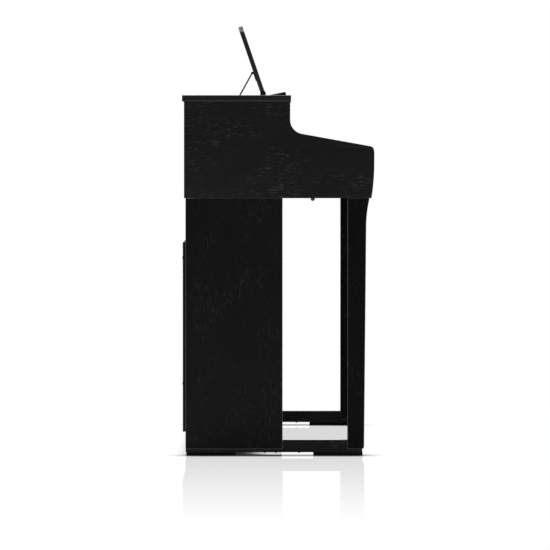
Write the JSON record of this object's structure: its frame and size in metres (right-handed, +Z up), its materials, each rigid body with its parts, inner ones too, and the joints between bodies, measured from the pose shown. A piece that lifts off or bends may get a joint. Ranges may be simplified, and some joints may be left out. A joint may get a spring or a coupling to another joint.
{
  "type": "digital piano on stand",
  "caption": "Black woodgrain digital piano on a fixed stand, with raised music rest, sliding key cover, pedals and headphone hook.",
  "frame": {"origin": "on the floor, under the middle of the bounding box", "axes": "+X to the player's right, -Y towards the player, +Z up"},
  "size_m": [1.4112, 0.465, 1.0481],
  "materials": {
    "black_woodgrain": "satin black woodgrain foil on board",
    "black_plastic": "matte black moulding",
    "white_key": "satin ivory white",
    "black_key": "matte black",
    "dark_sheet_metal": "black coated steel sheet",
    "steel_wire": "plated steel",
    "brass": "polished brass",
    "rubber": "matte",
    "circuit_board": "green laminate"
  },
  "bodies": {
    "cabinet": {"top_board": "black_woodgrain", "left_side_panel": "black_woodgrain", "right_side_panel": "black_woodgrain", "key_bed": "black_woodgrain", "cabinet_back_panel": "black_woodgrain", "upper_front_panel": "black_woodgrain", "key_slip": "black_woodgrain", "left_cheek_block": "black_woodgrain", "right_cheek_block": "black_woodgrain", "name_board": "black_woodgrain", "left_column": "black_woodgrain", "right_column": "black_woodgrain", "left_front_leg": "black_woodgrain", "right_front_leg": "black_woodgrain", "left_foot_bar": "black_woodgrain", "right_foot_bar": "black_woodgrain", "stand_back_board": "black_woodgrain", "pedal_box": "black_woodgrain", "left_cover_rail": "black_plastic", "right_cover_rail": "black_plastic", "left_rest_hinge": "black_plastic", "right_rest_hinge": "black_plastic", "book_ledge": "black_plastic", "headphone_box": "black_plastic", "keyboard_frame": "dark_sheet_metal", "rear_jack_plate": "dark_sheet_metal", "left_speaker": "dark_sheet_metal", "right_speaker": "dark_sheet_metal", "headphone_hook": "steel_wire", "left_rear_pad": "rubber", "left_front_pad": "rubber", "right_rear_pad": "rubber", "right_front_pad": "rubber", "main_board": "circuit_board"},
    "key_cover": {"key_cover": "black_woodgrain"},
    "music_rest": {"music_rest": "black_woodgrain"},
    "rest_prop": {"rest_prop": "steel_wire"},
    "power_button": {"power_button": "black_plastic"},
    "function_button": {"function_button": "black_plastic"},
    "volume_slider": {"volume_slider": "black_plastic"},
    "white_keys_bass": {"white_keys_bass": "white_key"},
    "white_keys_treble": {"white_keys_treble": "white_key"},
    "key_c4": {"key_c4": "white_key"},
    "key_d4": {"key_d4": "white_key"},
    "key_e4": {"key_e4": "white_key"},
    "key_f4": {"key_f4": "white_key"},
    "key_g4": {"key_g4": "white_key"},
    "key_a4": {"key_a4": "white_key"},
    "key_b4": {"key_b4": "white_key"},
    "black_keys_bass": {"black_keys_bass": "black_key"},
    "black_keys_treble": {"black_keys_treble": "black_key"},
    "key_cs4": {"key_cs4": "black_key"},
    "key_ds4": {"key_ds4": "black_key"},
    "key_fs4": {"key_fs4": "black_key"},
    "key_gs4": {"key_gs4": "black_key"},
    "key_as4": {"key_as4": "black_key"},
    "soft_pedal": {"soft_pedal": "brass"},
    "sostenuto_pedal": {"sostenuto_pedal": "brass"},
    "damper_pedal": {"damper_pedal": "brass"},
    "pedal_adjuster": {"pedal_adjuster": "black_plastic"}
  },
  "joints": [
    {"name": "key_cover_slide", "type": "slide", "parent": "cabinet", "child": "key_cover", "axis": [0, -0.9842, -0.1771], "range_m": [0, 0.148]},
    {"name": "music_rest_fold", "type": "hinge", "parent": "cabinet", "child": "music_rest", "pos_m": [0, 0.0374, 0.88], "axis": [-1, 0, 0], "range_deg": [0, 71]},
    {"name": "rest_prop_fold", "type": "hinge", "parent": "music_rest", "child": "rest_prop", "pos_m": [0, 0.0661, 0.93528], "axis": [1, 0, 0], "range_deg": [0, 133.2]},
    {"name": "power_button_press", "type": "slide", "parent": "cabinet", "child": "power_button", "axis": [0, 0.1771, -0.9842], "range_m": [0, 0.0015], "stiffness_N_per_m": 300, "springref_m": -0.003},
    {"name": "function_button_press", "type": "slide", "parent": "cabinet", "child": "function_button", "axis": [0, 0.1771, -0.9842], "range_m": [0, 0.0015], "stiffness_N_per_m": 300, "springref_m": -0.003},
    {"name": "volume_slide", "type": "slide", "parent": "cabinet", "child": "volume_slider", "axis": [0, 0.9842, 0.1771], "range_m": [-0.015, 0.015]},
    {"name": "white_keys_bass_press", "type": "hinge", "parent": "cabinet", "child": "white_keys_bass", "pos_m": [0, 0.0015, 0.708], "axis": [1, 0, 0], "range_deg": [0, 2.7], "stiffness_Nm_per_rad": 13.8, "springref_deg": -17.19},
    {"name": "white_keys_treble_press", "type": "hinge", "parent": "cabinet", "child": "white_keys_treble", "pos_m": [0, 0.0015, 0.708], "axis": [1, 0, 0], "range_deg": [0, 2.7], "stiffness_Nm_per_rad": 13.2, "springref_deg": -17.19},
    {"name": "key_c4_press", "type": "hinge", "parent": "cabinet", "child": "key_c4", "pos_m": [0, 0.0015, 0.708], "axis": [1, 0, 0], "range_deg": [0, 2.7], "stiffness_Nm_per_rad": 0.6, "springref_deg": -17.19},
    {"name": "key_d4_press", "type": "hinge", "parent": "cabinet", "child": "key_d4", "pos_m": [0, 0.0015, 0.708], "axis": [1, 0, 0], "range_deg": [0, 2.7], "stiffness_Nm_per_rad": 0.6, "springref_deg": -17.19},
    {"name": "key_e4_press", "type": "hinge", "parent": "cabinet", "child": "key_e4", "pos_m": [0, 0.0015, 0.708], "axis": [1, 0, 0], "range_deg": [0, 2.7], "stiffness_Nm_per_rad": 0.6, "springref_deg": -17.19},
    {"name": "key_f4_press", "type": "hinge", "parent": "cabinet", "child": "key_f4", "pos_m": [0, 0.0015, 0.708], "axis": [1, 0, 0], "range_deg": [0, 2.7], "stiffness_Nm_per_rad": 0.6, "springref_deg": -17.19},
    {"name": "key_g4_press", "type": "hinge", "parent": "cabinet", "child": "key_g4", "pos_m": [0, 0.0015, 0.708], "axis": [1, 0, 0], "range_deg": [0, 2.7], "stiffness_Nm_per_rad": 0.6, "springref_deg": -17.19},
    {"name": "key_a4_press", "type": "hinge", "parent": "cabinet", "child": "key_a4", "pos_m": [0, 0.0015, 0.708], "axis": [1, 0, 0], "range_deg": [0, 2.7], "stiffness_Nm_per_rad": 0.6, "springref_deg": -17.19},
    {"name": "key_b4_press", "type": "hinge", "parent": "cabinet", "child": "key_b4", "pos_m": [0, 0.0015, 0.708], "axis": [1, 0, 0], "range_deg": [0, 2.7], "stiffness_Nm_per_rad": 0.6, "springref_deg": -17.19},
    {"name": "black_keys_bass_press", "type": "hinge", "parent": "cabinet", "child": "black_keys_bass", "pos_m": [0, 0.0205, 0.708], "axis": [1, 0, 0], "range_deg": [0, 3.1], "stiffness_Nm_per_rad": 8, "springref_deg": -17.19},
    {"name": "black_keys_treble_press", "type": "hinge", "parent": "cabinet", "child": "black_keys_treble", "pos_m": [0, 0.0205, 0.708], "axis": [1, 0, 0], "range_deg": [0, 3.1], "stiffness_Nm_per_rad": 7.5, "springref_deg": -17.19},
    {"name": "key_cs4_press", "type": "hinge", "parent": "cabinet", "child": "key_cs4", "pos_m": [0, 0.0205, 0.708], "axis": [1, 0, 0], "range_deg": [0, 3.1], "stiffness_Nm_per_rad": 0.5, "springref_deg": -17.19},
    {"name": "key_ds4_press", "type": "hinge", "parent": "cabinet", "child": "key_ds4", "pos_m": [0, 0.0205, 0.708], "axis": [1, 0, 0], "range_deg": [0, 3.1], "stiffness_Nm_per_rad": 0.5, "springref_deg": -17.19},
    {"name": "key_fs4_press", "type": "hinge", "parent": "cabinet", "child": "key_fs4", "pos_m": [0, 0.0205, 0.708], "axis": [1, 0, 0], "range_deg": [0, 3.1], "stiffness_Nm_per_rad": 0.5, "springref_deg": -17.19},
    {"name": "key_gs4_press", "type": "hinge", "parent": "cabinet", "child": "key_gs4", "pos_m": [0, 0.0205, 0.708], "axis": [1, 0, 0], "range_deg": [0, 3.1], "stiffness_Nm_per_rad": 0.5, "springref_deg": -17.19},
    {"name": "key_as4_press", "type": "hinge", "parent": "cabinet", "child": "key_as4", "pos_m": [0, 0.0205, 0.708], "axis": [1, 0, 0], "range_deg": [0, 3.1], "stiffness_Nm_per_rad": 0.5, "springref_deg": -17.19},
    {"name": "soft_pedal_press", "type": "hinge", "parent": "cabinet", "child": "soft_pedal", "pos_m": [0, 0.1954, 0.066], "axis": [1, 0, 0], "range_deg": [0, 5], "stiffness_Nm_per_rad": 15, "springref_deg": -5.73},
    {"name": "sostenuto_pedal_press", "type": "hinge", "parent": "cabinet", "child": "sostenuto_pedal", "pos_m": [0, 0.1954, 0.066], "axis": [1, 0, 0], "range_deg": [0, 5], "stiffness_Nm_per_rad": 15, "springref_deg": -5.73},
    {"name": "damper_pedal_press", "type": "hinge", "parent": "cabinet", "child": "damper_pedal", "pos_m": [0, 0.1954, 0.066], "axis": [1, 0, 0], "range_deg": [0, 5], "stiffness_Nm_per_rad": 15, "springref_deg": -5.73},
    {"name": "adjuster_screw", "type": "slide", "parent": "cabinet", "child": "pedal_adjuster", "axis": [0, 0, 1], "range_m": [0, 0.008]}
  ],
  "couplings": [
    {"joint": "rest_prop_fold", "follows": "music_rest_fold", "ratio": 1.8732}
  ]
}
